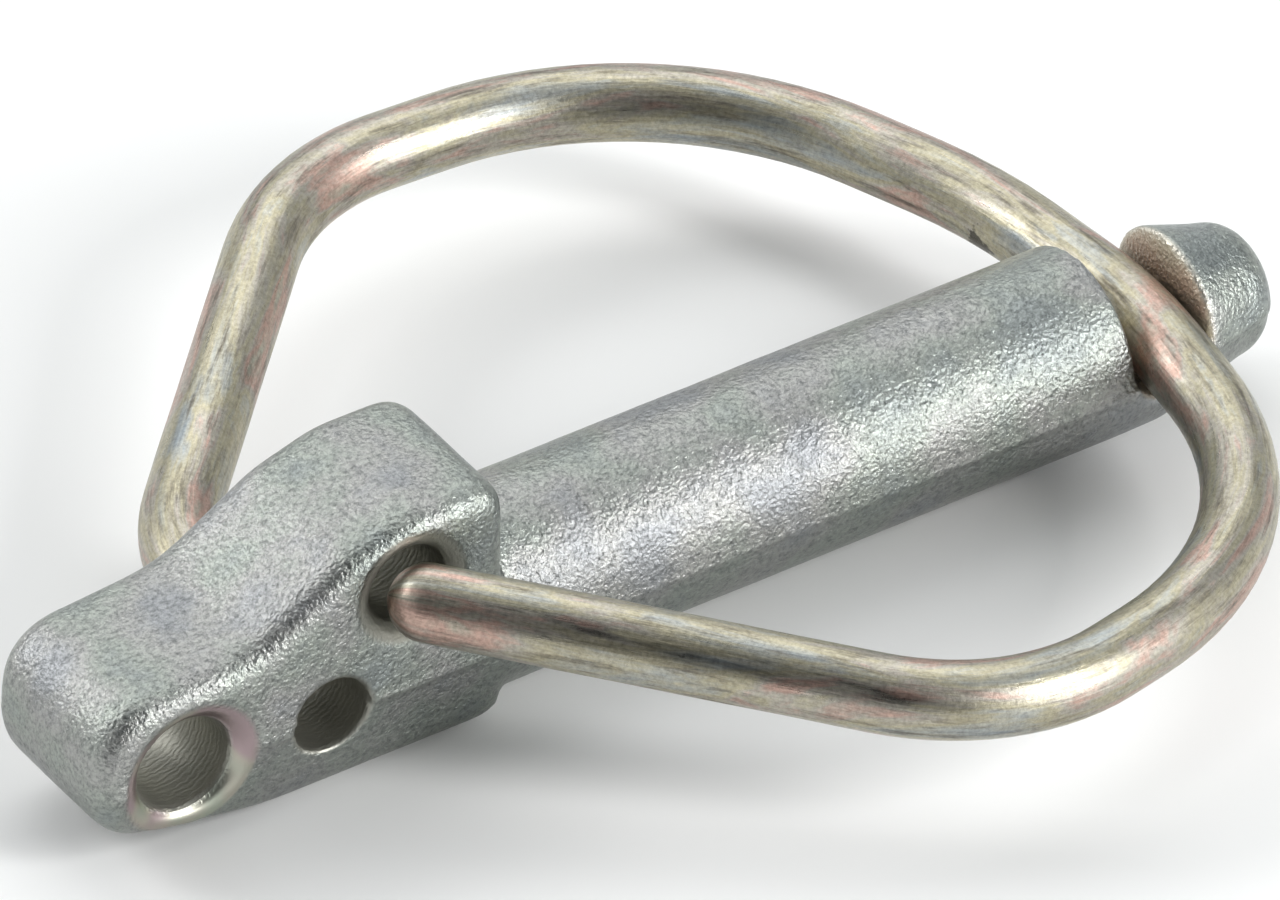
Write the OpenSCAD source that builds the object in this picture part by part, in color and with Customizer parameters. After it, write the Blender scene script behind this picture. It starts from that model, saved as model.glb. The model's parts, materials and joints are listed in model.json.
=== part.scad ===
// Lynch pin: a forged pin with a flat-sided head and a notched nose, and a
// spring-wire ring whose two ends sit in offset holes on either side of the head.
//
// Frame: the origin is on the shank's axis at the head's shoulder. +X runs along
// the shank to the nose, +Z points up to the side of the hump and the notch, and
// the side at -Y is called the near side. All sizes are in millimetres.

/* [Shank] */
// Diameter of the shank
shank_d = 12; // [10:0.5:15]
// Length from the shoulder to the end of the nose
shank_len = 55; // [50:0.2:68]
// Length of the tapered nose
nose_len = 8.8; // [8:0.1:11]
// Diameter left at the small end of the nose's taper
nose_end_d = 8.3; // [6:0.1:9]
// Radius that rounds off the nose
nose_round = 2.5; // [1:0.1:2.9]
// Droop of the nose below the shank's axis, in degrees
nose_droop = 2.5; // [0:0.5:4]

/* [Notch] */
// Distance from the notch's middle to the end of the nose
notch_from_end = 8.9; // [8.5:0.1:12]
// Free play of the wire across the notch
notch_play = 1.1; // [0.5:0.1:1.5]
// Height of the seated wire's centre above the shank's axis
seat_z = 1.2; // [0.5:0.1:2]
// Gap between the seated wire and the notch's floor
seat_gap = 0.4; // [0.1:0.05:0.5]
// Lean of the notch's wall on the nose side, in degrees
notch_lean = 1; // [0:1:12]

/* [Head] */
// Length of the head behind the shoulder
head_len = 28; // [26:0.5:34]
// Thickness of the head across the flats
head_w = 12; // [11:0.5:15]
// Height of the flat tail above the shank's axis
tail_top = 5.4; // [5:0.1:7]
// Height of the hump above the shank's axis
hump_top = 11.5; // [10.8:0.1:14]
// Length of the hump's flat top, measured from the shoulder
hump_len = 6.2; // [5:0.1:8]
// Length of the hump's falling back, behind its flat top
back_len = 4.4; // [3:0.1:6]
// Drop of that back
back_drop = 1.3; // [0.8:0.1:2]
// Length of the slope from the back down to the tail
slope_len = 6.4; // [5:0.1:8]
// Rise of the tail's flat top from its end to the slope
top_rise = 0.9; // [0:0.1:1.2]
// Rise of the head's bottom face at its tail end
tail_rise = 2.9; // [0.5:0.1:3.2]
// Radius of the head's edges
edge_r = 1.8; // [1.4:0.1:2.2]
// Radius in the hollow of the slope
hollow_r = 8; // [5:0.5:10]
// Radius that rounds the hump and the tail in side view
crown_edge_r = 4; // [3:0.5:5]
// Radius of the head's lower edges, along the pin
low_edge_r = 2; // [1.4:0.1:3]
// How far the head's bottom stands below the shank
belly = 0.1; // [0:0.05:0.5]
// Slant of the tail's end face
tail_slant = 0.6; // [0:0.1:2]
// How far the lower half of each side draws in toward the bottom
draft_low = 0.75; // [0.3:0.05:1.2]
// How far the upper half of each side draws in toward the top
draft_high = 0.3; // [0.1:0.05:0.6]

/* [Holes in the head] */
// Distance of the upper ring hole behind the shoulder
upper_hole_x = 6.65; // [6:0.05:8]
// Height of the upper ring hole above the shank's axis
upper_hole_z = 6.8; // [6:0.1:8]
// Distance of the lower ring hole behind the shoulder
lower_hole_x = 12.1; // [11.5:0.1:14.5]
// Height of the lower ring hole above the shank's axis
lower_hole_z = 0; // [-0.5:0.1:0.5]
// Radial clearance of the wire in its holes
ring_play = 0.2; // [0.2:0.05:0.5]
// Extra radius of the countersink where the wire enters the upper hole
upper_sink = 0.9; // [0.7:0.1:1.2]
// Extra radius of the countersink where the wire enters the lower hole
lower_sink = 1.4; // [1:0.1:1.6]
// Distance of the lanyard hole behind the shoulder
lanyard_x = 21.5; // [20.5:0.1:24]
// Height of the lanyard hole above the shank's axis
lanyard_z = 0; // [-0.5:0.1:0.5]
// Diameter of the lanyard hole
lanyard_d = 6; // [5:0.1:7]
// Extra radius of the lanyard hole's countersinks
lanyard_sink = 1.35; // [1:0.05:1.5]

/* [Ring] */
// Diameter of the ring's wire
wire_d = 4.6; // [4:0.1:5.5]
// How far the centre of the upper wire end stands out from the head's side
upper_out = 1.3; // [0.1:0.05:2]
// How far the centre of the lower wire end stands out from the head's side
lower_out = 0.7; // [0.1:0.05:2]
// Half the width of the ring between its corners' meeting points
bow_half_w = 32.6; // [28:0.2:38]
// How far those corners lie behind the crown
bow_depth = 31.5; // [28:0.5:36]
// Half the width where the bow starts to turn back
front_half_w = 29.5; // [26:0.2:34]
// How far that turn lies behind the crown
front_depth = 6.2; // [5:0.1:8]
// Half the width of the crown's straightest stretch
crown_half_w = 6.6; // [5:0.1:8]
// Bend radius at the crown
crown_r = 31.5; // [25:0.5:36]
// Bend radius at the front of the bow
front_r = 22.2; // [18:0.2:24]
// Bend radius at the corners
corner_r = 15.4; // [10:0.2:18]
// Bend radius of the leg where it turns into the lower hole
lower_bend_r = 11.5; // [8:0.5:13]
// Reach of that bend's meeting point from the head's side
lower_bend_out = 5.1; // [5:0.1:6]
// Turn of the ring in its own plane, in degrees
ring_yaw = 6.4; // [3:0.1:9]
// Sideways shift of the crown toward the far side
crown_shift = 6.2; // [3:0.1:8]
// How far the crown's middle lies behind the notch's, or ahead of it if negative
crown_back = 0.1; // [-0.5:0.05:0.5]
// Slope of the ring down toward the nose, in degrees
ring_pitch = 2.2; // [0:0.1:5]

/* [Hidden] */
$fn = 96;
over = 1;
wire_sides = 20;
wire_step = 7;
dome_steps = 4;

shank_r = shank_d / 2;
wire_r = wire_d / 2;
side_y = head_w / 2;
bottom_z = -shank_r - belly;
notch_x = shank_len - notch_from_end;
notch_r = wire_r + notch_play / 2;
notch_z = seat_z - wire_r - seat_gap + notch_r;
grip_len = notch_x - notch_r - 0.35;
nose_start_r = shank_r - 0.05;
root_taper = 0.1;
hole_r = wire_r + ring_play;

upper_end = [-upper_hole_x, -side_y - upper_out, upper_hole_z];
lower_end = [-lower_hole_x, side_y + lower_out, lower_hole_z];

// Directions of the ring's own plane: forward to the crown, and across to the far side
forward = [cos(ring_pitch) * cos(ring_yaw), sin(ring_yaw), -sin(ring_pitch) * cos(ring_yaw)];
across = [-cos(ring_pitch) * sin(ring_yaw), cos(ring_yaw), sin(ring_pitch) * sin(ring_yaw)];
crown = [notch_x - crown_back, crown_shift, seat_z];

function on_bow(depth, half_w) = crown - depth * forward + half_w * across;

// The wire's route: each entry is a meeting point of two straights and its bend radius
route = [
    [lower_end, 0],
    [lower_end + [0, lower_bend_out, 0], lower_bend_r],
    [on_bow(bow_depth, bow_half_w), corner_r],
    [on_bow(front_depth, front_half_w), front_r],
    [on_bow(0, crown_half_w), crown_r],
    [on_bow(0, -crown_half_w), crown_r],
    [on_bow(front_depth, -front_half_w), front_r],
    [on_bow(bow_depth, -bow_half_w), corner_r],
    [upper_end, 0],
];
last = len(route) - 1;

function unit(v) = v / norm(v);
function point(i) = route[i][0];
function away(i) = unit(point(i + 1) - point(i));
function turn(i) = acos(away(i - 1) * away(i));
// Length of straight that the bend at point i takes from each side
function taken(i) = i == 0 || i == last ? 0 : route[i][1] * tan(turn(i) / 2);

// Stations along the wire, each as [centre, direction, radius]
function straight_start(i) = point(i) + taken(i) * away(i);
function bend_stations(i) =
    let (from = away(i - 1), axis = unit(cross(from, away(i))), inward = cross(axis, from),
         r = route[i][1], steps = ceil(turn(i) / wire_step),
         centre = point(i) - taken(i) * from + r * inward)
    [for (k = [0 : steps])
        let (a = turn(i) * k / steps)
        [centre - r * cos(a) * inward + r * sin(a) * from, cos(a) * from + sin(a) * inward, wire_r]];
// A rounded wire end, from its rim to the full wire or the other way
dome_limit = 84;
function dome_stations(at, along, sign) =
    [for (k = [0 : dome_steps - 1])
        let (a = min(dome_limit, 90 * (sign < 0 ? dome_steps - k : k + 1) / dome_steps))
        [at + sign * wire_r * sin(a) * along, along, wire_r * cos(a)]];
stations = concat(
    dome_stations(point(0), away(0), -1),
    [[point(0), away(0), wire_r]],
    [for (i = [1 : last - 1]) each bend_stations(i)],
    [[point(last), away(last - 1), wire_r]],
    dome_stations(point(last), away(last - 1), 1)
);

// The corners of one station's ring
function ring_corners(s) =
    let (side = unit(cross([0, 0, 1], s[1])), up = cross(s[1], side))
    [for (k = [0 : wire_sides - 1])
        let (a = 360 * k / wire_sides)
        s[0] + s[2] * (cos(a) * side + sin(a) * up)];

module wire_ring() {
    corners = [for (s = stations) each ring_corners(s)];
    ends = len(stations) - 1;
    walls = [for (j = [0 : ends - 1], k = [0 : wire_sides - 1])
        let (n = (k + 1) % wire_sides, low = j * wire_sides, high = low + wire_sides)
        [low + k, high + k, high + n, low + n]];
    first_cap = [for (k = [0 : wire_sides - 1]) k];
    last_cap = [for (k = [wire_sides - 1 : -1 : 0]) ends * wire_sides + k];
    color("#b9b2a2") polyhedron(corners, concat(walls, [first_cap, last_cap]), convexity = 6);
}

// Side view of the head, as X along the pin and Y upward. It is rounded past the
// shoulder and cut there, so that the shoulder's own corners stay square.
module head_outline() {
    intersection() {
        offset(r = -hollow_r) offset(delta = hollow_r)
            offset(r = crown_edge_r) offset(delta = -crown_edge_r)
                polygon([
                    [head_w, bottom_z],
                    [head_w, hump_top],
                    [-hump_len, hump_top],
                    [-hump_len - back_len, hump_top - back_drop],
                    [-hump_len - back_len - slope_len, tail_top + top_rise],
                    [-head_len + tail_slant, tail_top],
                    [-head_len, bottom_z + tail_rise],
                    [-head_len / 2, bottom_z],
                ]);
        translate([-head_len - over, bottom_z - over])
            square([head_len + over, hump_top - bottom_z + 2 * over]);
    }
}

// The head's rounded block, before its sides are drafted
module head_block() {
    rotate([90, 0, 0])
        minkowski() {
            translate([0, 0, edge_r - side_y])
                linear_extrude(head_w - 2 * edge_r)
                    offset(delta = -edge_r) head_outline();
            sphere(r = edge_r, $fn = 24);
        }
}

// Half of the head's cross-section, as [across, up] from the parting line at z = 0:
// the upper half draws in a little, and the lower half rounds under to the bottom
half_section = concat(
    [[side_y - draft_high, hump_top + over], [side_y, 0]],
    [for (a = [0 : 15 : 90])
        [side_y - draft_low - low_edge_r * (1 - cos(a)), bottom_z + low_edge_r * (1 - sin(a))]]
);

module draft_prism() {
    left = [for (i = [len(half_section) - 1 : -1 : 0]) [-half_section[i][0], half_section[i][1]]];
    rotate([90, 0, 90])
        translate([0, 0, -head_len - over])
            linear_extrude(head_len + 2 * over)
                polygon(concat(half_section, left));
}

// A cross hole through the head, with a countersink of its own on each side
module cross_hole(x, z, r, near_sink, far_sink) {
    translate([-x, 0, z]) rotate([90, 0, 0]) {
        cylinder(h = head_w + 2 * over, r = r, center = true);
        if (near_sink > 0)
            translate([0, 0, side_y - near_sink])
                cylinder(h = near_sink + over, r1 = r, r2 = r + near_sink + over);
        if (far_sink > 0)
            translate([0, 0, -side_y - over])
                cylinder(h = far_sink + over, r1 = r + far_sink + over, r2 = r);
    }
}

// The shank: a slight root taper inside the head, the straight grip that a drilled
// part sits on, and a slight taper under the notch
module shank() {
    root = edge_r + over;
    rotate([0, 90, 0]) rotate_extrude()
        polygon([
            [0, -root], [shank_r - root_taper, -root], [shank_r, 0],
            [shank_r, grip_len], [nose_start_r, shank_len - nose_len],
            [0, shank_len - nose_len],
        ]);
}

// The tapered nose, turned about its own drooping axis
module nose() {
    end_r = nose_end_d / 2;
    translate([shank_len - nose_len, 0, 0]) rotate([0, 90 + nose_droop, 0])
        rotate_extrude() {
            polygon([
                [0, -over], [nose_start_r - over * 0.05, -over], [nose_start_r, 0],
                [end_r, nose_len - nose_round], [end_r - nose_round, nose_len - nose_round],
                [end_r - nose_round, nose_len], [0, nose_len],
            ]);
            intersection() {
                translate([end_r - nose_round, nose_len - nose_round]) circle(r = nose_round);
                square([end_r, nose_len]);
            }
        }
}

// The cross notch that the ring snaps into: a round floor with rising walls
module notch() {
    high = shank_r + over;
    lean = (high - notch_z) * tan(notch_lean);
    rotate([90, 0, 0]) translate([0, 0, -shank_r - over])
        linear_extrude(shank_d + 2 * over) {
            translate([notch_x, notch_z]) circle(r = notch_r);
            polygon([
                [notch_x - notch_r, notch_z], [notch_x + notch_r, notch_z],
                [notch_x + notch_r + lean, high], [notch_x - notch_r, high],
            ]);
        }
}

module forged_pin() {
    color("#9aa0a0") difference() {
        union() {
            intersection() {
                head_block();
                draft_prism();
            }
            shank();
            nose();
        }
        notch();
        cross_hole(upper_hole_x, upper_hole_z, hole_r, upper_sink, 0);
        cross_hole(lower_hole_x, lower_hole_z, hole_r, 0, lower_sink);
        cross_hole(lanyard_x, lanyard_z, lanyard_d / 2, lanyard_sink, lanyard_sink);
    }
}

forged_pin();
wire_ring();
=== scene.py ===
# %% [markdown]
# # A lynch pin, built around its frame
# A lynch pin locks a drilled joint on a tractor or trailer. It is two pieces: a steel
# forging with a humped head and a notched nose, and a ring of spring wire whose ends sit
# in the head. The frame already holds both at their real sizes, so this script gives them
# the soft edges, the grain and the plating that a working pin has.

# %% Load the frame
import json
import math

import bmesh
import bpy
from mathutils import Matrix, Vector, noise


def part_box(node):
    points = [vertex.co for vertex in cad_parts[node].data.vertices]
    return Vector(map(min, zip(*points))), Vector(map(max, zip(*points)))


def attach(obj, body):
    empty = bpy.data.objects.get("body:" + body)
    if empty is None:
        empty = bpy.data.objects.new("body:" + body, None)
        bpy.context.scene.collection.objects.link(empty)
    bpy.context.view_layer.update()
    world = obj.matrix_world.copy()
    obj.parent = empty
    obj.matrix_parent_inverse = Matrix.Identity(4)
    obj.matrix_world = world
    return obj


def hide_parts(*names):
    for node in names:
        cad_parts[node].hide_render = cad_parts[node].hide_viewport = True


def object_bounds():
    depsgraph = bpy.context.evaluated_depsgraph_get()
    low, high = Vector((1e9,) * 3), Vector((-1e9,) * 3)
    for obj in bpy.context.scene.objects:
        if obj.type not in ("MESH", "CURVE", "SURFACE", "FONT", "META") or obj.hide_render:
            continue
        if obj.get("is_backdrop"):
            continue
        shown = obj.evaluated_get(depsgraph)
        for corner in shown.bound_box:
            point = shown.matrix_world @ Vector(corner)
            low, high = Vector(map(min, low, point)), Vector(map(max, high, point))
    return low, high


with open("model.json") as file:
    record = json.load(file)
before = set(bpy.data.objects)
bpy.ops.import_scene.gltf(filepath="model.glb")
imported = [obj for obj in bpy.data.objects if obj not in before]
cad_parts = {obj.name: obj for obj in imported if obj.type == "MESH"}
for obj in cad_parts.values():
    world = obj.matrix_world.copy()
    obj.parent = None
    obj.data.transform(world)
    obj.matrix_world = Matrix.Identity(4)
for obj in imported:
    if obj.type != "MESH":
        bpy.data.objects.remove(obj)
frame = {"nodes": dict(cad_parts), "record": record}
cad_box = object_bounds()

MM = 0.001
record = frame["record"]
mounts = {mount["name"]: mount for mount in record["mounts"]}

# %% [markdown]
# ## Sizes that several steps share
# A designer keeps the few sizes that matter in one place. The shank's radius and the
# lanyard hole come from the record. The rest repeat the part's own source, in metres.

# %% Sizes of the forging
shank_r = mounts["shank"]["dims"]["r_mm"] * MM
pin_low, pin_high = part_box("forged_pin")
side_y = 6.0 * MM
hole_r = 2.5 * MM
upper_hole = Vector((-6.65, 0.0, 6.8)) * MM
lower_hole = Vector((-12.1, 0.0, 0.0)) * MM
lanyard_hole = Vector(mounts["lanyard_hole"]["pos_m"])
lanyard_r = mounts["lanyard_hole"]["dims"]["r_mm"] * MM
notch_x = 46.1 * MM
notch_r = 2.85 * MM
notch_z = 1.35 * MM
print("pin from", [round(v, 4) for v in pin_low], "to", [round(v, 4) for v in pin_high])

# %% [markdown]
# ## The camera, the floor and the light
# The camera stands well back with a long lens, so that the pin keeps its true
# proportions. The pin lies on a pale floor under broad studio light. A metal shows what is
# round it, so the light is part of its look. A narrow key light draws the bright band along
# the shank, a wide one overhead lifts the flats, a low one in front reaches the near side,
# and one behind the tail catches the slope of the head.

# %% Camera
AZIMUTH, ELEVATION, ROLL = math.radians(-33.8), math.radians(37.4), math.radians(0.3)
aim = Vector((15.18, 3.83, 1.38)) * MM
distance = 1.3
toward_camera = Vector((
    math.sin(AZIMUTH) * math.cos(ELEVATION),
    -math.cos(AZIMUTH) * math.cos(ELEVATION),
    math.sin(ELEVATION),
))
level = Vector((math.cos(AZIMUTH), math.sin(AZIMUTH), 0))
upright = toward_camera.cross(level)
right = math.cos(ROLL) * level + math.sin(ROLL) * upright
up = toward_camera.cross(right)

camera_data = bpy.data.cameras.new("Camera")
camera_data.sensor_width = 36
camera_data.lens = 637.3
camera_data.clip_start = 0.1
camera = bpy.data.objects.new("Camera", camera_data)
camera.matrix_world = (
    Matrix.Translation(aim + distance * toward_camera)
    @ Matrix((right, up, toward_camera)).transposed().to_4x4()
)
bpy.context.scene.collection.objects.link(camera)
bpy.context.scene.camera = camera
print("camera at", [round(v, 3) for v in camera.matrix_world.translation])

# %% [markdown]
# Materials come next, and the floor needs the first one. Colours are written as they look
# on a screen, and one function turns them to the linear values that Blender mixes. One
# more function adds a node with its settings and links, and every material uses it.

# %% Colour and node helpers
def linear(hex_colour):
    """A screen colour such as #8c9290 as linear red, green, blue and alpha."""
    channels = [int(hex_colour[i:i + 2], 16) / 255 for i in (1, 3, 5)]
    return [c / 12.92 if c <= 0.04045 else ((c + 0.055) / 1.055) ** 2.4 for c in channels] + [1.0]


def add(tree, kind, inputs=None, stops=None, **settings):
    """Adds a node. settings are its properties, inputs its sockets, stops a ramp's colours."""
    node = tree.nodes.new(kind)
    for name, value in settings.items():
        setattr(node, name, value)
    for name, value in (inputs or {}).items():
        if isinstance(value, bpy.types.NodeSocket):
            tree.links.new(value, node.inputs[name])
        else:
            node.inputs[name].default_value = value
    if stops:
        elements = node.color_ramp.elements
        while len(elements) < len(stops):
            elements.new(1.0)
        for element, (place, colour) in zip(elements, stops):
            element.position = place
            element.color = linear(colour)
    return node


def new_material(name):
    """A material with an empty node tree, its Principled shader and its output."""
    material = bpy.data.materials.new(name)
    material.use_nodes = True
    tree = material.node_tree
    tree.nodes.clear()
    shader = add(tree, "ShaderNodeBsdfPrincipled")
    add(tree, "ShaderNodeOutputMaterial", {"Surface": shader.outputs[0]})
    return material, tree, shader


# %% Floor
floor_material, tree, shader = new_material("matt white paper")
shader.inputs["Base Color"].default_value = linear("#f4f4f3")
shader.inputs["Roughness"].default_value = 0.9
shader.inputs["Specular IOR Level"].default_value = 0.2
bm = bmesh.new()
bmesh.ops.create_grid(bm, x_segments=1, y_segments=1, size=3.0)
bmesh.ops.translate(bm, verts=bm.verts, vec=(0, 0, pin_low.z))
floor_mesh = bpy.data.meshes.new("studio_floor")
bm.to_mesh(floor_mesh)
bm.free()
floor_mesh.materials.append(floor_material)
floor = bpy.data.objects.new("studio_floor", floor_mesh)
bpy.context.scene.collection.objects.link(floor)
floor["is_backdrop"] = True
print("floor at z", round(pin_low.z, 4))

# %% Lights
def softbox(name, direction, reach, size, watts, colour="#ffffff"):
    """A rectangular area light that looks at the pin's middle from a direction."""
    data = bpy.data.lights.new(name, "AREA")
    data.shape = "RECTANGLE"
    data.size, data.size_y = size
    data.energy = watts
    data.color = linear(colour)[:3]
    light = bpy.data.objects.new(name, data)
    toward = Vector(direction).normalized()
    light.location = aim + toward * reach
    light.rotation_euler = toward.to_track_quat("Z", "Y").to_euler()
    bpy.context.scene.collection.objects.link(light)
    return light


REACH = 0.9
softbox("key_softbox", (0.46, -0.72, 0.50), REACH, (0.19, 0.40), 5.0)
softbox("top_softbox", (0.30, 0.55, 0.78), REACH, (0.9, 0.8), 3.2)
softbox("front_softbox", (0.42, -0.88, 0.14), REACH, (0.5, 0.16), 1.7)
softbox("tail_softbox", (-0.54, 0.64, 0.54), REACH, (0.32, 0.34), 3.0)

# %% Room
# The room is white with one dark side, so the metal has something dark to show as well
world = bpy.data.worlds.new("studio")
world.use_nodes = True
tree = world.node_tree
look = add(tree, "ShaderNodeTexCoord").outputs["Generated"]
facing = add(tree, "ShaderNodeVectorMath", {0: look, 1: toward_camera}, operation="DOT_PRODUCT")
dark_side = add(tree, "ShaderNodeMapRange", {"Value": facing.outputs["Value"], "From Min": 0.62,
                                             "From Max": 0.93}, interpolation_type="SMOOTHSTEP")
room = add(tree, "ShaderNodeMix", {"Factor": dark_side.outputs[0], 6: linear("#d4d8da"),
                                   7: linear("#3a3c3e")}, data_type="RGBA")
tree.links.new(room.outputs[2], tree.nodes["Background"].inputs["Color"])
tree.nodes["Background"].inputs["Strength"].default_value = 0.85
bpy.context.scene.world = world
bpy.context.scene.view_settings.view_transform = "Standard"
print("room", world.name)

# %% [markdown]
# ## The forging's skin
# A hot forging has no sharp edge: the hammer dies leave radii, and the plating bath keeps
# them. The frame's pin has the right shape with crisp corners. It could be rebuilt with a
# bevel on every edge, but its edges meet at many angles, so a bevel tears. Instead a copy
# of its mesh is merged, remeshed into small even squares and smoothed, which rounds every
# edge by about the same half millimetre. The drilled holes stay a little crisper, because
# they were cut after the forging.

# %% Helpers for meshes
def add_object(name, mesh, material):
    """Puts a finished mesh in the scene with one material."""
    mesh.materials.clear()
    mesh.materials.append(material)
    piece = bpy.data.objects.new(name, mesh)
    bpy.context.scene.collection.objects.link(piece)
    return piece


def modified(mesh, *modifiers):
    """The mesh after these modifiers, each given as its type and its settings."""
    helper = bpy.data.objects.new("helper", mesh)
    bpy.context.scene.collection.objects.link(helper)
    for kind, settings in modifiers:
        modifier = helper.modifiers.new(kind, kind)
        for name, value in settings.items():
            setattr(modifier, name, value)
    bpy.context.view_layer.update()
    graph = bpy.context.evaluated_depsgraph_get()
    result = bpy.data.meshes.new_from_object(helper.evaluated_get(graph))
    bpy.data.objects.remove(helper)
    return result


# %% Remesh and smooth a copy of the pin
SKIN_STEP = 0.26 * MM
bm = bmesh.new()
bm.from_mesh(frame["nodes"]["forged_pin"].data)
bmesh.ops.remove_doubles(bm, verts=bm.verts, dist=0.001 * MM)
pin_mesh = bpy.data.meshes.new("pin_copy")
bm.to_mesh(pin_mesh)
bm.free()
pin_mesh = modified(
    pin_mesh,
    ("REMESH", {"mode": "VOXEL", "voxel_size": SKIN_STEP, "use_smooth_shade": True}),
)
print("pin skin", len(pin_mesh.vertices), "points", len(pin_mesh.polygons), "faces")

# %% [markdown]
# Two things are worked out at every point of the skin. The first is what made it there:
# the forging dies, a drill, a countersink or the notch. The material reads these as
# attributes, so the drill marks stay inside the holes. The second is how far smoothing
# may move it, so that the holes keep their edges.

# %% What made each point
def ramp(value, low, high):
    """0 below low, 1 above high, and a straight line between."""
    return min(1.0, max(0.0, (value - low) / (high - low)))


def hole_distance(point, centre):
    """Distance of a point from a cross hole's axis, which runs along Y."""
    return math.hypot(point.x - centre.x, point.z - centre.z)


# Each hole's centre and radius, the side of the wire's countersink, and that sink's depth
holes = [(upper_hole, hole_r, -1, 0.9 * MM), (lower_hole, hole_r, 1, 1.4 * MM),
         (lanyard_hole, lanyard_r, 0, 0.0)]
LANYARD_SINK = 1.35 * MM


def cut_distance(point, hole):
    """Distance of a point outside the drilled wall or the countersink of a hole."""
    centre, radius, side, depth = hole
    sunk = depth if point.y * side > side_y - depth else 0.0
    return hole_distance(point, centre) - radius - sunk


def finishes(point):
    """How much of the drill, the countersink and the notch cutter shows at a point."""
    drilled = 1 - ramp(min(cut_distance(point, hole) for hole in holes), 0.05 * MM, 0.3 * MM)
    near_lanyard = hole_distance(point, lanyard_hole)
    sink_rim = lanyard_r + LANYARD_SINK
    sunk = 1 - ramp(near_lanyard, sink_rim - 0.1 * MM, sink_rim + 0.15 * MM)
    sunk *= ramp(near_lanyard, lanyard_r + 0.05 * MM, lanyard_r + 0.3 * MM)
    from_notch = math.hypot(point.x - notch_x, min(0, point.z - notch_z))
    notched = 1 - ramp(from_notch, notch_r + 0.15 * MM, notch_r + 0.5 * MM)
    radius = math.hypot(point.y, point.z)
    notched *= 1 - ramp(radius, shank_r - 0.45 * MM, shank_r - 0.15 * MM)
    return drilled, sunk, notched


print("holes in the head", len(holes))

# %% Smooth the skin
SMOOTH_ROUNDS = 8
HEAD_ROUNDS = 14
LAST_ROUNDS = 2


def smooth(verts, rounds):
    """Draws each of these points toward its neighbours, a few times over."""
    for _ in range(rounds):
        bmesh.ops.smooth_vert(bm, verts=verts, factor=0.5,
                              use_axis_x=True, use_axis_y=True, use_axis_z=True)


bm = bmesh.new()
bm.from_mesh(pin_mesh)
soft = []
for vert in bm.verts:
    if min(hole_distance(vert.co, hole[0]) - hole[1] for hole in holes) > 0.35 * MM:
        soft.append(vert)
# The head's edges are the roundest, so they are smoothed for longer
head = [vert for vert in soft if vert.co.x < -0.3 * MM]
smooth(soft, SMOOTH_ROUNDS)
smooth(head, HEAD_ROUNDS)
smooth(bm.verts, LAST_ROUNDS)
print("pin skin smoothed over", len(soft), "points")

# %% [markdown]
# Forging and plating leave the skin uneven by a few hundredths of a millimetre. The two
# dies met at z = 0: they left a fine ridge along both sides there, and the lower half came
# out a hair smaller than the upper. These heights are in millimetres.

# %% Mark the cuts and raise the parting line
WAVE, RIPPLE = 0.022, 0.006
PARTING_RIDGE, LOWER_STEP = 0.07, 0.09

bm.normal_update()
layers = [bm.verts.layers.float.new(name) for name in ("drilled", "sunk", "notched")]
for vert in bm.verts:
    for layer, value in zip(layers, finishes(vert.co)):
        vert[layer] = value
    forged = 1 - max(vert[layers[0]], vert[layers[1]])
    wave = noise.noise(vert.co / (3.4 * MM)) * WAVE
    ripple = noise.noise(vert.co / (1.3 * MM)) * RIPPLE
    sideways = abs(vert.normal.y)
    ridge = PARTING_RIDGE * math.exp(-((vert.co.z / (0.25 * MM)) ** 2)) * ramp(sideways, 0.5, 0.8)
    step = -LOWER_STEP * ramp(-vert.co.z, 0, 0.6 * MM) * ramp(sideways, 0.2, 0.6)
    vert.co += vert.normal * (wave + ripple + ridge + step) * MM * forged
    vert.co.z = max(vert.co.z, pin_low.z)
for face in bm.faces:
    face.smooth = True
bm.to_mesh(pin_mesh)
bm.free()
print("pin skin has", len(pin_mesh.polygons), "faces")

# %% [markdown]
# ## Bright zinc over a forged skin
# The pin is zinc plated and passivated. Zinc by itself is a cool light grey, and the
# passivation adds a breath of green and blue. The forging's scale left an orange-peel
# grain under the plating, about 0.3 mm from crest to crest, and each tiny crest catches
# the light as a spark. Two patterns added together make one bump: Voronoi cells for the
# crests, and noise for the finer pitting. A fine dark film has settled over it in specks.

# %% Grain of the forging
GRAIN = 0.27 * MM
forging, tree, shader = new_material("zinc plated forging")
place = add(tree, "ShaderNodeTexCoord").outputs["Object"]
drilled = add(tree, "ShaderNodeAttribute", attribute_name="drilled").outputs["Fac"]
sunk = add(tree, "ShaderNodeAttribute", attribute_name="sunk").outputs["Fac"]
notched = add(tree, "ShaderNodeAttribute", attribute_name="notched").outputs["Fac"]

# The crests are drawn out of true by a little noise
wander = add(tree, "ShaderNodeTexNoise", {"Vector": place, "Scale": 0.5 / GRAIN, "Detail": 2.0})
bent = add(tree, "ShaderNodeMix", {"Factor": 0.00035, 4: place, 5: wander.outputs["Color"]},
           data_type="VECTOR", clamp_factor=False)
cells = add(tree, "ShaderNodeTexVoronoi", {"Vector": bent.outputs[1], "Scale": 1 / GRAIN},
            feature="SMOOTH_F1")
fine = add(tree, "ShaderNodeTexNoise",
           {"Vector": place, "Scale": 1.6 / GRAIN, "Detail": 3.0, "Roughness": 0.6})
grain = add(tree, "ShaderNodeMath", {0: cells.outputs["Distance"], 1: fine.outputs["Fac"]},
            operation="ADD")
print("grain of", round(GRAIN / MM, 2), "mm")

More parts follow.
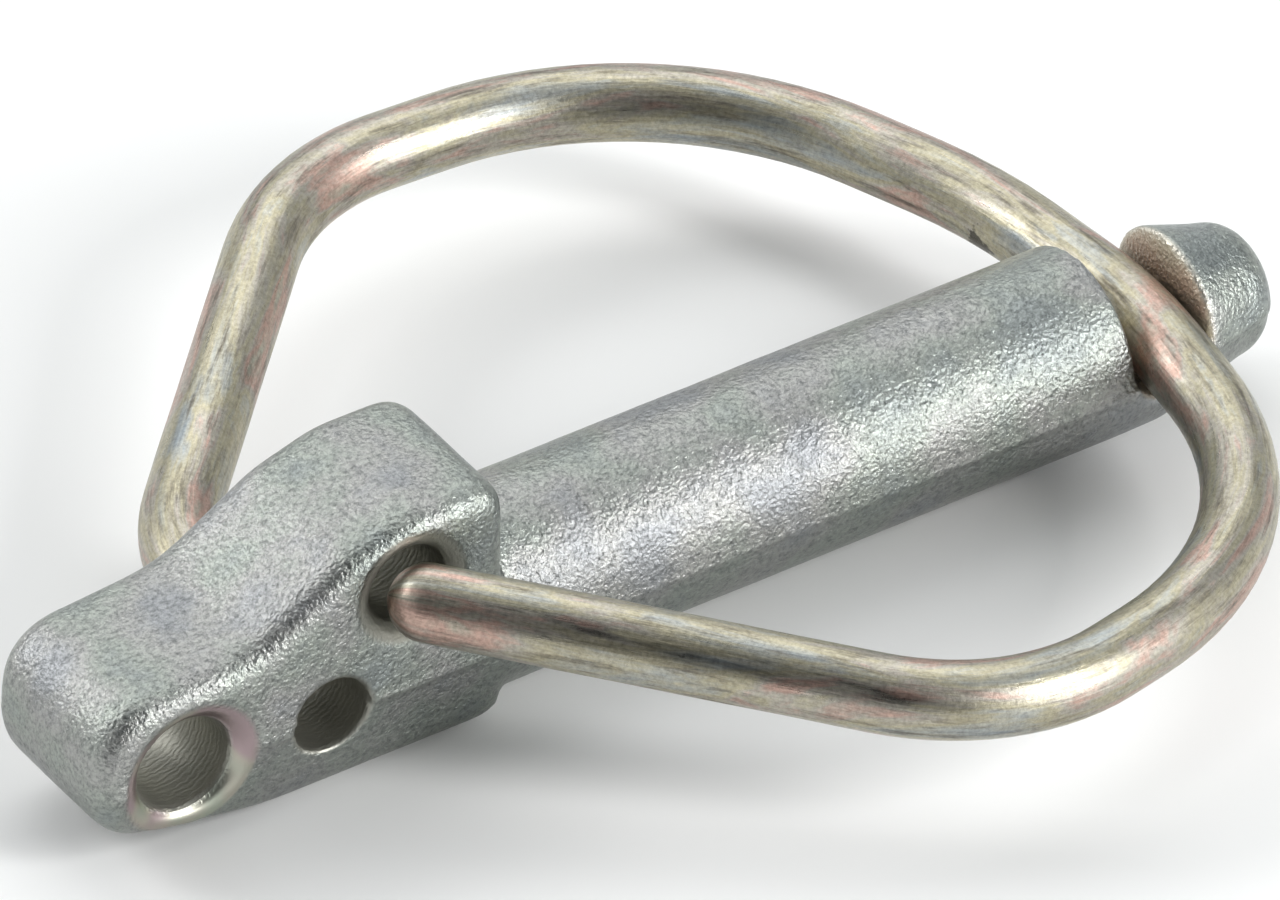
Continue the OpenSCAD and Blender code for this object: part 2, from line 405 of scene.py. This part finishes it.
# %% Zinc, its film and painted shade below
# Patches of grey, green-grey and blue-grey, darker where film has settled
patches = add(tree, "ShaderNodeTexNoise", {"Vector": place, "Scale": 1 / (7 * MM), "Detail": 4.0})
zinc = add(tree, "ShaderNodeValToRGB", {"Fac": patches.outputs["Fac"]}, stops=[
    (0.34, "#989e9c"), (0.45, "#a3a8a1"), (0.55, "#aaaaa7"), (0.66, "#9fa1a3"),
])
film = add(tree, "ShaderNodeTexNoise",
           {"Vector": place, "Scale": 1 / (0.36 * MM), "Detail": 6.0, "Roughness": 0.8})
film_amount = add(tree, "ShaderNodeMapRange",
                  {"Value": film.outputs["Fac"], "From Min": 0.44, "From Max": 0.66,
                   "To Max": 0.72})
filmed_and_shaded = add(tree, "ShaderNodeMix",
             {"Factor": film_amount.outputs[0], 6: zinc.outputs["Color"], 7: linear("#505455")},
             data_type="RGBA")
# The lower half is painted darker: painted shade for the side that faces down, away from the lamps
height_up = add(tree, "ShaderNodeSeparateXYZ", {"Vector": place}).outputs["Z"]
painted_lower_shade = add(tree, "ShaderNodeMapRange", {"Value": height_up, "From Min": 0.1 * MM,
                                         "From Max": -0.5 * MM, "To Max": 0.22})
# The zinc with its film, and painted shade mixed over the lower half
filmed_and_shaded = add(tree, "ShaderNodeMix",
             {"Factor": painted_lower_shade.outputs[0], 6: filmed_and_shaded.outputs[2], 7: linear("#646b69")},
             data_type="RGBA")

print("film over", forging.name)

# %% Notch, holes and countersinks
# The notch is warm and painted pale, a painted light that keeps its shaded wall bright; the
# drilled walls are grey, and the sinks show a thin film that goes from green-grey through straw to
# pink
notch_tone_and_light_share = add(tree, "ShaderNodeMath", {0: notched, 1: 0.8}, operation="MULTIPLY")
# The notch's own warm tone, lightened as painted light for the wall that lies in shade
notch_tone_and_painted_light = add(tree, "ShaderNodeMix",
               {"Factor": notch_tone_and_light_share.outputs[0], 6: filmed_and_shaded.outputs[2], 7: linear("#e2dacb")},
               data_type="RGBA")
in_holes = add(tree, "ShaderNodeMix",
               {"Factor": drilled, 6: notch_tone_and_painted_light.outputs[2], 7: linear("#a6a59c")}, data_type="RGBA")
sink_film = add(tree, "ShaderNodeTexNoise", {"Vector": place, "Scale": 1 / (4.5 * MM)})
sink_tint = add(tree, "ShaderNodeValToRGB", {"Fac": sink_film.outputs["Fac"]}, stops=[
    (0.38, "#a9aea0"), (0.48, "#b3aea2"), (0.56, "#ae9c9e"),
])
in_sinks = add(tree, "ShaderNodeMix",
               {"Factor": sunk, 6: in_holes.outputs[2], 7: sink_tint.outputs["Color"]},
               data_type="RGBA")

print("tints by attribute: notched, drilled, sunk")

# %% Height and gloss
# Grain outside the holes, and rings left by the drill's lips inside them
cut = add(tree, "ShaderNodeMath", {0: drilled, 1: sunk}, operation="MAXIMUM")
grain_share = add(tree, "ShaderNodeMath", {0: 1.0, 1: cut.outputs[0]}, operation="SUBTRACT")
grain_height = add(tree, "ShaderNodeMath", {0: grain.outputs[0], 1: grain_share.outputs[0]},
                   operation="MULTIPLY")
lips = add(tree, "ShaderNodeTexWave",
           {"Vector": place, "Scale": 1 / (1.2 * MM), "Distortion": 6.0, "Detail": 4.0,
            "Detail Scale": 2.5}, bands_direction="Y")
lip_share = add(tree, "ShaderNodeMath", {0: drilled, 1: 0.18}, operation="MULTIPLY")
lip_height = add(tree, "ShaderNodeMath", {0: lips.outputs["Fac"], 1: lip_share.outputs[0]},
                 operation="MULTIPLY")
height = add(tree, "ShaderNodeMath", {0: grain_height.outputs[0], 1: lip_height.outputs[0]},
             operation="ADD")
bump = add(tree, "ShaderNodeBump",
           {"Height": height.outputs[0], "Strength": 0.95, "Distance": 0.075 * MM})
wear = add(tree, "ShaderNodeMapRange", {"Value": patches.outputs["Fac"], "From Min": 0.3,
                                        "From Max": 0.7, "To Min": 0.29, "To Max": 0.38})
duller = add(tree, "ShaderNodeMath", {0: drilled, 1: 0.18, 2: wear.outputs[0]},
             operation="MULTIPLY_ADD")
dulled = add(tree, "ShaderNodeMath", {0: notched, 1: 0.1, 2: duller.outputs[0]},
             operation="MULTIPLY_ADD")
tree.links.new(in_sinks.outputs[2], shader.inputs["Base Color"])
tree.links.new(dulled.outputs[0], shader.inputs["Roughness"])
tree.links.new(bump.outputs[0], shader.inputs["Normal"])
shader.inputs["Metallic"].default_value = 1.0
print("material", forging.name, len(tree.nodes), "nodes")

# %% Put the skin on the pin
pin = add_object("pin_skin", pin_mesh, forging)
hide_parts("forged_pin")
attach(pin, "pin")
print("pin done")

# %% [markdown]
# ## The ring
# The ring is one length of spring wire, bent on a former. It is made here the way it is
# bent: a circle is drawn along each straight and spun round each bend. A curve with a
# round bevel would also do, but this way every ring of points knows how far along the
# wire it is, and the drawing marks can follow the wire round its bends.

# %% Route of the wire
WIRE_R = 2.3 * MM
YAW, PITCH = math.radians(6.4), math.radians(2.2)
lower_end = Vector((lower_hole.x, side_y + 0.7 * MM, lower_hole.z))
upper_end = Vector((upper_hole.x, -side_y - 1.3 * MM, upper_hole.z))
cos_yaw, sin_yaw = math.cos(YAW), math.sin(YAW)
cos_pitch, sin_pitch = math.cos(PITCH), math.sin(PITCH)
forward = Vector((cos_pitch * cos_yaw, sin_yaw, -sin_pitch * cos_yaw))
across = Vector((-cos_pitch * sin_yaw, cos_yaw, sin_pitch * sin_yaw))
crown = Vector((notch_x - 0.1 * MM, 6.2 * MM, 1.2 * MM))


def on_bow(depth, half_width):
    """A point in the ring's own plane, in millimetres behind and beside the crown."""
    return crown - depth * MM * forward + half_width * MM * across


# Each bend's meeting point of two straights, and its radius
bends = [
    (lower_end + Vector((0, 5.1 * MM, 0)), 11.5 * MM),
    (on_bow(31.5, 32.6), 15.4 * MM),
    (on_bow(6.2, 29.5), 22.2 * MM),
    (on_bow(0, 6.6), 31.5 * MM),
    (on_bow(0, -6.6), 31.5 * MM),
    (on_bow(6.2, -29.5), 22.2 * MM),
    (on_bow(31.5, -32.6), 15.4 * MM),
]
corners = [lower_end] + [point for point, radius in bends] + [upper_end]
print("route has", len(bends), "bends")

# %% [markdown]
# Each ring of points carries its place on the straightened wire: how far along it is, and
# where it is on the round. A pattern drawn in that place runs along the wire, as the marks
# of the drawing die do, with no seam.

# %% Bend the wire
WIRE_SIDES = 48
STRAIGHT_STEP = 1.6 * MM
BEND_STEP = math.radians(4)

bm = bmesh.new()
around_x = bm.verts.layers.float.new("around_x")
around_y = bm.verts.layers.float.new("around_y")
along = bm.verts.layers.float.new("along")
start_way = (corners[1] - corners[0]).normalized()
bmesh.ops.create_circle(bm, cap_ends=False, segments=WIRE_SIDES, radius=WIRE_R)
for vert in bm.verts:
    vert[around_x], vert[around_y] = vert.co.x, vert.co.y
turn_to_start = start_way.to_track_quat("Z", "X").to_matrix().to_4x4()
bmesh.ops.transform(bm, matrix=Matrix.Translation(lower_end) @ turn_to_start, verts=bm.verts)
first_edges = list(bm.edges)
front_edges = first_edges
travelled = 0.0


def step_on(geometry, distance):
    """Takes what a spin or an extrude made as the new front, and writes its place."""
    global front_edges, travelled
    travelled += distance
    front_edges = [g for g in geometry if isinstance(g, bmesh.types.BMEdge)]
    for vert in {v for edge in front_edges for v in edge.verts}:
        vert[along] = travelled


def run_straight(way, length):
    """Draws the front along a straight in short steps."""
    steps = max(1, round(length / STRAIGHT_STEP))
    for _ in range(steps):
        made = bmesh.ops.extrude_edge_only(bm, edges=front_edges)["geom"]
        edges = [g for g in made if isinstance(g, bmesh.types.BMEdge)
                 and all(v in made for v in g.verts)]
        verts = list({v for edge in edges for v in edge.verts})
        bmesh.ops.translate(bm, verts=verts, vec=way * (length / steps))
        step_on(edges, length / steps)


def run_bend(centre, axis, angle, radius):
    """Spins the front round a bend in short steps."""
    steps = max(2, round(angle / BEND_STEP))
    for _ in range(steps):
        verts = list({v for edge in front_edges for v in edge.verts})
        made = bmesh.ops.spin(bm, geom=verts + front_edges, cent=centre, axis=axis,
                              angle=angle / steps, steps=1)["geom_last"]
        step_on(made, radius * angle / steps)


taken = 0.0
for i, (point, radius) in enumerate(bends, start=1):
    into = (corners[i] - corners[i - 1]).normalized()
    out = (corners[i + 1] - corners[i]).normalized()
    angle = into.angle(out)
    reach = radius * math.tan(angle / 2)
    run_straight(into, (corners[i] - corners[i - 1]).length - reach - taken)
    axis = into.cross(out).normalized()
    centre = corners[i] - reach * into + radius * axis.cross(into)
    run_bend(centre, axis, angle, radius)
    taken = reach
end_way = (corners[-1] - corners[-2]).normalized()
run_straight(end_way, (corners[-1] - corners[-2]).length - taken)
middle = sum((v.co for v in {v for e in front_edges for v in e.verts}), Vector()) / WIRE_SIDES
off = (middle - upper_end).length
print("wire", round(travelled / MM, 1), "mm, its end", round(off / MM, 4), "mm off")

# %% [markdown]
# Both ends of the wire are rounded, so that they turn freely in the mouths of their
# holes. The front is drawn on in shrinking steps that follow a half ball.

# %% Round the wire's ends
DOME_STEPS = 8


def round_end(edges, middle, way):
    """Closes an open end of the wire with a half ball."""
    global front_edges
    front_edges = edges
    sine, cosine = 0.0, 1.0
    for k in range(1, DOME_STEPS + 1):
        angle = math.radians(88) * k / DOME_STEPS
        made = bmesh.ops.extrude_edge_only(bm, edges=front_edges)["geom"]
        front_edges = [g for g in made if isinstance(g, bmesh.types.BMEdge)
                       and all(v in made for v in g.verts)]
        verts = list({v for edge in front_edges for v in edge.verts})
        bmesh.ops.translate(bm, verts=verts, vec=way * WIRE_R * (math.sin(angle) - sine))
        sine, shrink = math.sin(angle), math.cos(angle) / cosine
        cosine = math.cos(angle)
        centre = middle + way * WIRE_R * sine
        bmesh.ops.scale(bm, verts=verts, vec=(shrink, shrink, shrink),
                        space=Matrix.Translation(-centre))
    bmesh.ops.contextual_create(bm, geom=front_edges)


round_end(front_edges, upper_end, end_way)
round_end(first_edges, lower_end, -start_way)
bmesh.ops.recalc_face_normals(bm, faces=bm.faces)
print("wire ends rounded in", DOME_STEPS, "steps")

# %% Leave the wire a little uneven
# Bending and knocks leave it a few hundredths of a millimetre out of round
UNEVEN = 0.018
bm.normal_update()
for vert in bm.verts:
    place_on_wire = Vector((vert[along] * 0.22, vert[around_x], vert[around_y]))
    vert.co += vert.normal * noise.noise(place_on_wire / (1.1 * MM)) * UNEVEN * MM
for face in bm.faces:
    face.smooth = True
ring_mesh = bpy.data.meshes.new("wire_ring_smooth")
bm.to_mesh(ring_mesh)
bm.free()
print("ring", len(ring_mesh.polygons), "faces")

# %% [markdown]
# ## Passivated spring wire
# Drawn wire is smoother than the forging: long fine streaks from the die, with a bright
# zinc plating on top. The passivation film is a fraction of a micron thick and it varies,
# so it shows pink, straw and pale green, as oil does on water. Here a slow noise along the
# wire picks the tint, a stretched noise draws the streaks, and dark scuffs show where the
# ring rubs.

# %% Film and streaks on the wire
wire, tree, shader = new_material("passivated spring wire")
place = [add(tree, "ShaderNodeAttribute", attribute_name=name).outputs["Fac"]
         for name in ("along", "around_x", "around_y")]
on_wire = add(tree, "ShaderNodeCombineXYZ", {"X": place[0], "Y": place[1], "Z": place[2]})
drawn = add(tree, "ShaderNodeMapping", {"Vector": on_wire.outputs[0], "Scale": (0.07, 1, 1)})
slow = add(tree, "ShaderNodeMapping", {"Vector": on_wire.outputs[0], "Scale": (0.22, 1, 1)})
scuffed = add(tree, "ShaderNodeMapping", {"Vector": on_wire.outputs[0], "Scale": (0.12, 1, 1)})
streaks = add(tree, "ShaderNodeTexNoise", {"Vector": drawn.outputs[0], "Scale": 1 / (0.24 * MM),
                                           "Detail": 5.0, "Roughness": 0.7})
tints = add(tree, "ShaderNodeTexNoise", {"Vector": slow.outputs[0], "Scale": 1 / (2.6 * MM),
                                         "Detail": 5.0, "Roughness": 0.62, "Distortion": 0.5})
film = add(tree, "ShaderNodeValToRGB", {"Fac": tints.outputs["Fac"]}, stops=[
    (0.32, "#a2a9ac"), (0.41, "#b3b2a7"), (0.47, "#b8b198"), (0.54, "#b4afa4"),
    (0.61, "#c4a598"), (0.71, "#b2b3a4"),
])
streak_tint = add(tree, "ShaderNodeMapRange", {"Value": streaks.outputs["Fac"], "From Min": 0.3,
                                               "From Max": 0.7, "To Min": 0.8, "To Max": 1.08})
print("film over", wire.name)

# %% Scuffs and one knock
scuffs = add(tree, "ShaderNodeTexNoise", {"Vector": scuffed.outputs[0], "Scale": 1 / (0.7 * MM),
                                          "Detail": 6.0, "Roughness": 0.74})
scuff_amount = add(tree, "ShaderNodeMapRange", {"Value": scuffs.outputs["Fac"], "From Min": 0.52,
                                                "From Max": 0.68, "To Max": 0.8})
scuff_tint = add(tree, "ShaderNodeMix", {"Factor": scuff_amount.outputs[0], 6: film.outputs[0],
                                         7: linear("#665f56")}, data_type="RGBA")
# One knock has gone through the plating on the bow, close to the crown
where = add(tree, "ShaderNodeTexCoord").outputs["Object"]
ragged = add(tree, "ShaderNodeTexNoise", {"Vector": where, "Scale": 1 / (0.7 * MM), "Detail": 3.0})
knock_centre = Vector((43.5, 10.6, 0.5)) * MM
knock = add(tree, "ShaderNodeVectorMath", {0: where, 1: knock_centre}, operation="DISTANCE")
knock_edge = add(tree, "ShaderNodeMath",
                 {0: ragged.outputs["Fac"], 1: -2.6 * MM, 2: knock.outputs["Value"]},
                 operation="MULTIPLY_ADD")
knocked = add(tree, "ShaderNodeMapRange", {"Value": knock_edge.outputs[0], "From Min": -0.2 * MM,
                                           "From Max": -0.45 * MM, "To Max": 0.85})
scuff_tint = add(tree, "ShaderNodeMix", {"Factor": knocked.outputs[0], 6: scuff_tint.outputs[2],
                                         7: linear("#3f3a33")}, data_type="RGBA")
print("knock at", [round(v / MM, 1) for v in knock_centre], "mm")

# %% Streaks, grit and gloss
tinted = add(tree, "ShaderNodeMix", {"Factor": 1.0, 6: scuff_tint.outputs[2],
                                     7: streak_tint.outputs[0]},
             data_type="RGBA", blend_type="MULTIPLY")
grit = add(tree, "ShaderNodeTexNoise", {"Vector": where, "Scale": 1 / (0.28 * MM), "Detail": 4.0,
                                        "Roughness": 0.75})
grit_tint = add(tree, "ShaderNodeMapRange", {"Value": grit.outputs["Fac"], "From Min": 0.35,
                                             "From Max": 0.65, "To Min": 0.76, "To Max": 1.14})
tinted = add(tree, "ShaderNodeMix", {"Factor": 1.0, 6: tinted.outputs[2], 7: grit_tint.outputs[0]},
             data_type="RGBA", blend_type="MULTIPLY")
polish = add(tree, "ShaderNodeMapRange", {"Value": scuffs.outputs["Fac"], "From Min": 0.35,
                                          "From Max": 0.66, "To Min": 0.25, "To Max": 0.50})
streak_height = add(tree, "ShaderNodeMath",
                    {0: grit.outputs["Fac"], 1: 0.6, 2: streaks.outputs["Fac"]},
                    operation="MULTIPLY_ADD")
bump = add(tree, "ShaderNodeBump", {"Height": streak_height.outputs[0], "Strength": 0.7,
                                    "Distance": 0.035 * MM})
tree.links.new(tinted.outputs[2], shader.inputs["Base Color"])
tree.links.new(polish.outputs[0], shader.inputs["Roughness"])
tree.links.new(bump.outputs[0], shader.inputs["Normal"])
shader.inputs["Metallic"].default_value = 1.0
print("material", wire.name, len(tree.nodes), "nodes")

# %% Put the ring on its body
ring = add_object("bent_wire", ring_mesh, wire)
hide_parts("wire_ring")
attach(ring, "ring")
print("ring done")

# %% [markdown]
# ## The size
# The skin and the wire must keep to the frame's own box, because other parts are fitted to
# it. The size of both boxes is printed.

# %% Print both boxes
boxes = {"cad": [list(corner) for corner in cad_box],
         "visual": [list(corner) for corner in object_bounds()]}
for name, box in boxes.items():
    print(name, "box", [round((high - low) / MM, 2) for low, high in zip(*box)], "mm")
